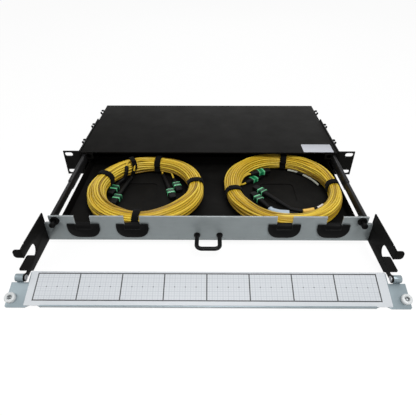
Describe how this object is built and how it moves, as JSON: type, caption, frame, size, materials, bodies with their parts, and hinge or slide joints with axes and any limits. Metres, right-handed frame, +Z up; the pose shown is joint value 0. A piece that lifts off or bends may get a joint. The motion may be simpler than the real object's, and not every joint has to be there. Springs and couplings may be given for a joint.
{
  "type": "fiber patch panel",
  "caption": "Sliding one-unit rack fibre shelf drawn out, with ported face plate, bow handle, drop-down door and two coils of cable in the tray.",
  "frame": {"origin": "middle of the rack's mounting plane: at the back of the ears, half way between them, level with the underside of the chassis", "axes": "+X to the right seen from the front, +Y to the rear, into the rack, +Z up"},
  "size_m": [0.4826, 0.4857, 0.0517],
  "materials": {
    "black_powder": "fine-textured black powder coat on steel sheet",
    "slide_steel": "black zinc-plated slide steel",
    "face_grey": "satin metallic grey paint",
    "door_silver": "satin light silver paint",
    "handle_black": "smooth black coat on a steel bow",
    "black_plastic": "moulded black nylon",
    "nylon_white": "natural white nylon",
    "card_white": "white write-on card with a printed grid",
    "pin_steel": "bright zinc-plated steel",
    "cable_yellow": "yellow cable jacket",
    "strap_black": "black hook-and-loop tape",
    "connector_black": "black moulded boot and cap with a green collar"
  },
  "bodies": {
    "chassis": {"chassis_base": "black_powder", "top_cover": "black_powder", "left_rack_ear": "black_powder", "right_rack_ear": "black_powder", "left_latch_keeper": "black_powder", "right_latch_keeper": "black_powder", "left_cable_hook_1": "black_plastic", "left_cable_hook_2": "black_plastic", "left_cable_hook_3": "black_plastic", "right_cable_hook_1": "black_plastic", "right_cable_hook_2": "black_plastic", "right_cable_hook_3": "black_plastic", "left_cabinet_rail": "slide_steel", "right_cabinet_rail": "slide_steel"},
    "left_middle_slide": {"left_middle_rail": "slide_steel"},
    "right_middle_slide": {"right_middle_rail": "slide_steel"},
    "drawer": {"tray_pan": "black_powder", "face_plate": "face_grey", "left_drawer_rail": "slide_steel", "right_drawer_rail": "slide_steel", "port_insert_1": "black_plastic", "port_insert_2": "black_plastic", "port_insert_3": "black_plastic", "port_insert_4": "black_plastic", "left_side_arm": "black_powder", "right_side_arm": "black_powder", "pull_handle": "handle_black", "left_latch_bush": "black_plastic", "right_latch_bush": "black_plastic", "left_hinge_pin": "pin_steel", "right_hinge_pin": "pin_steel", "coil_left": "cable_yellow", "coil_right": "cable_yellow", "tail_right_1": "cable_yellow", "tail_right_2": "cable_yellow", "label_sleeve": "nylon_white", "strap_left_1": "strap_black", "strap_left_2": "strap_black", "strap_left_3": "strap_black", "strap_left_4": "strap_black", "strap_right_1": "strap_black", "strap_right_2": "strap_black", "strap_right_3": "strap_black", "connector_left_1": "connector_black", "connector_left_2": "connector_black", "connector_left_3": "connector_black", "connector_left_4": "connector_black", "connector_right_1": "connector_black", "connector_right_2": "connector_black", "connector_right_3": "connector_black", "connector_right_4": "connector_black"},
    "left_plunger": {"left_latch_plunger": "black_plastic"},
    "right_plunger": {"right_latch_plunger": "black_plastic"},
    "door": {"door_panel": "door_silver", "label_card": "card_white", "left_door_bumper": "nylon_white", "right_door_bumper": "nylon_white"}
  },
  "joints": [
    {"name": "drawer_slide", "type": "slide", "parent": "chassis", "child": "drawer", "axis": [0, 1, 0], "range_m": [0, 0.1659]},
    {"name": "left_middle_slide_joint", "type": "slide", "parent": "chassis", "child": "left_middle_slide", "axis": [0, 1, 0], "range_m": [0, 0.08295]},
    {"name": "right_middle_slide_joint", "type": "slide", "parent": "chassis", "child": "right_middle_slide", "axis": [0, 1, 0], "range_m": [0, 0.08295]},
    {"name": "door_hinge", "type": "hinge", "parent": "drawer", "child": "door", "pos_m": [0, -0.2499, 0.00875], "axis": [-1, 0, 0], "range_deg": [0, 110.5]},
    {"name": "left_latch", "type": "slide", "parent": "drawer", "child": "left_plunger", "axis": [0, 1, 0], "range_m": [0, 0.005]},
    {"name": "right_latch", "type": "slide", "parent": "drawer", "child": "right_plunger", "axis": [0, 1, 0], "range_m": [0, 0.005]}
  ],
  "couplings": [
    {"joint": "left_middle_slide_joint", "follows": "drawer_slide", "ratio": 0.5},
    {"joint": "right_middle_slide_joint", "follows": "drawer_slide", "ratio": 0.5}
  ]
}
